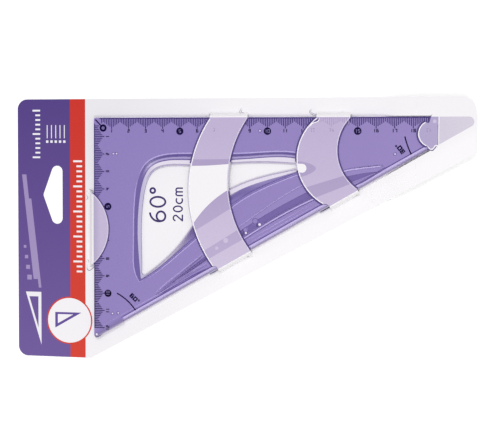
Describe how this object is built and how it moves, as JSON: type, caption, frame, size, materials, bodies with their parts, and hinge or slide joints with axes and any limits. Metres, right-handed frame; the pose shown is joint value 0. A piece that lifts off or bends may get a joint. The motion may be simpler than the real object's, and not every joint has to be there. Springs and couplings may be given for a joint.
{
  "type": "set square on hang card",
  "caption": "Flat 30-60-90 set square with centimetre scales and a wing-shaped opening, held in a die-cut hang card by curved straps, a tuck tab and a tip pocket.",
  "frame": {"origin": "centre of the card's outline, on its back face", "axes": "+X along the square's long leg towards its 30 degree tip, +Y up the card, +Z out of the printed face"},
  "size_m": [0.261, 0.1498, 0.0033],
  "materials": {
    "violet_plastic": "translucent violet flexible plastic, polished",
    "white_card": "smooth white coated card",
    "navy_ink": "printed dark navy ink",
    "pale_lilac_ink": "pale lilac offset print",
    "lilac_ink": "lilac offset print",
    "grey_lilac_ink": "grey-lilac offset print",
    "dark_violet_ink": "dark violet offset print",
    "violet_ink": "violet offset print",
    "red_ink": "red offset print",
    "white_ink": "unprinted white card",
    "motif_ink": "pale violet offset print"
  },
  "bodies": {
    "card": {"hang_card": "white_card", "tip_pocket": "white_card", "strap_wide": "white_card", "strap_narrow": "white_card", "strap_wide_print": "pale_lilac_ink", "strap_wide_shade_print": "lilac_ink", "strap_narrow_print": "pale_lilac_ink", "strap_narrow_shade_print": "lilac_ink", "pocket_print": "lilac_ink", "tip_print": "grey_lilac_ink", "size_print": "dark_violet_ink", "header_print": "violet_ink", "header_band_print": "red_ink", "header_white_print": "white_ink", "header_motif_print": "motif_ink", "badge_print": "red_ink", "badge_icon_print": "violet_ink"},
    "square": {"set_square": "violet_plastic", "long_scale_print": "navy_ink", "short_scale_print": "navy_ink", "zero_mark_print": "navy_ink", "angle_60_print": "navy_ink", "angle_30_print": "navy_ink"},
    "tab": {"tuck_tab": "white_card", "tuck_tab_print": "pale_lilac_ink"}
  },
  "joints": [
    {"name": "square_pull", "type": "slide", "parent": "card", "child": "square", "axis": [-1, 0, 0], "range_m": [0, 0.17], "deforming": ["tuck_tab", "tuck_tab_print"]},
    {"name": "tab_fold", "type": "hinge", "parent": "card", "child": "tab", "pos_m": [-0.0876, 0, 0.0005], "axis": [0, -1, 0], "range_deg": [0, 135]}
  ]
}
